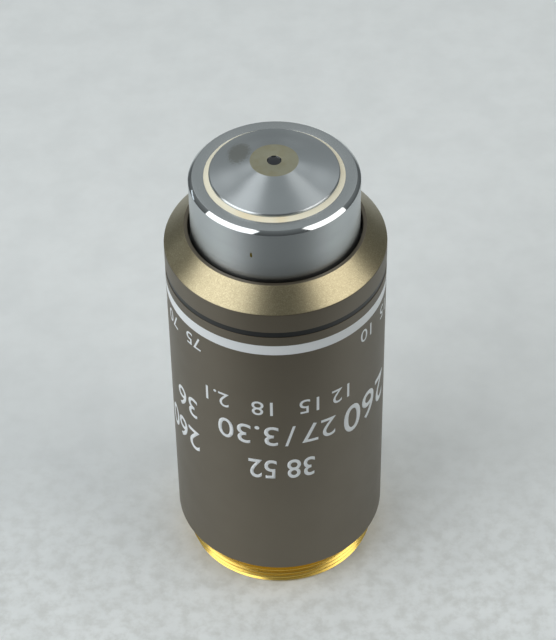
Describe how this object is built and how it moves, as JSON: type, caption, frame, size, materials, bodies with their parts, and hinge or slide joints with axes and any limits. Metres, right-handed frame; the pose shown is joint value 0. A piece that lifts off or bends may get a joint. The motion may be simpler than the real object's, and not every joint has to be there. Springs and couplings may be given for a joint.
{
  "type": "microscope objective",
  "caption": "Immersion microscope objective: bronze barrel on a fine mounting thread, with a spring-loaded steel nose, sealed front cone and a stack of lens cells inside.",
  "frame": {"origin": "on the optical axis at the end of the mounting thread, which the objective stands on", "axes": "+Z along the optical axis, from the mounting thread towards the nose"},
  "size_m": [0.0274, 0.0274, 0.0641],
  "materials": {
    "gold_brass": "turned, gold coloured plating",
    "bronze_satin": "satin bronze coloured plating",
    "bronze_blasted": "bead blasted bronze coloured plating",
    "white_enamel": "white enamel",
    "black_enamel": "black enamel",
    "satin_steel": "satin turned steel",
    "turned_steel": "fine turned steel",
    "cream_seal": "cream sealing compound",
    "lens_glass": "coated optical glass",
    "tube_brass": "turned brass",
    "black_brass": "blackened matt brass",
    "guide_bronze": "lapped bronze",
    "spring_steel": "spring wire",
    "screw_steel": "steel screw"
  },
  "bodies": {
    "barrel": {"threaded_base": "gold_brass", "outer_sleeve": "bronze_satin", "magnification_band": "white_enamel", "front_collar": "bronze_blasted", "immersion_band": "black_enamel", "guide_tube": "guide_bronze", "guide_screw": "screw_steel", "return_spring": "spring_steel", "rear_baffle": "black_brass"},
    "nose": {"nose_sleeve": "satin_steel", "seal_ring": "cream_seal", "front_cone": "turned_steel", "front_lens": "lens_glass", "meniscus_cell": "tube_brass", "meniscus_lens": "lens_glass", "front_lock_ring": "tube_brass", "lens_tube": "tube_brass", "singlet_cell": "black_brass", "singlet_lens": "lens_glass", "first_doublet_cell": "black_brass", "first_doublet_flint": "lens_glass", "first_doublet_crown": "lens_glass", "centring_screws": "screw_steel", "spacer_ring": "black_brass", "second_doublet_cell": "black_brass", "second_doublet_crown": "lens_glass", "second_doublet_flint": "lens_glass", "spacer_tube": "black_brass", "rear_doublet_cell": "black_brass", "rear_doublet_crown": "lens_glass", "rear_doublet_flint": "lens_glass", "aperture_stop": "black_brass", "tube_lock_ring": "black_brass"}
  },
  "joints": [
    {"name": "nose_retract", "type": "slide", "parent": "barrel", "child": "nose", "axis": [0, 0, -1], "range_m": [0, 0.002], "stiffness_N_per_m": 310, "springref_m": -0.005, "deforming": ["return_spring"]}
  ]
}
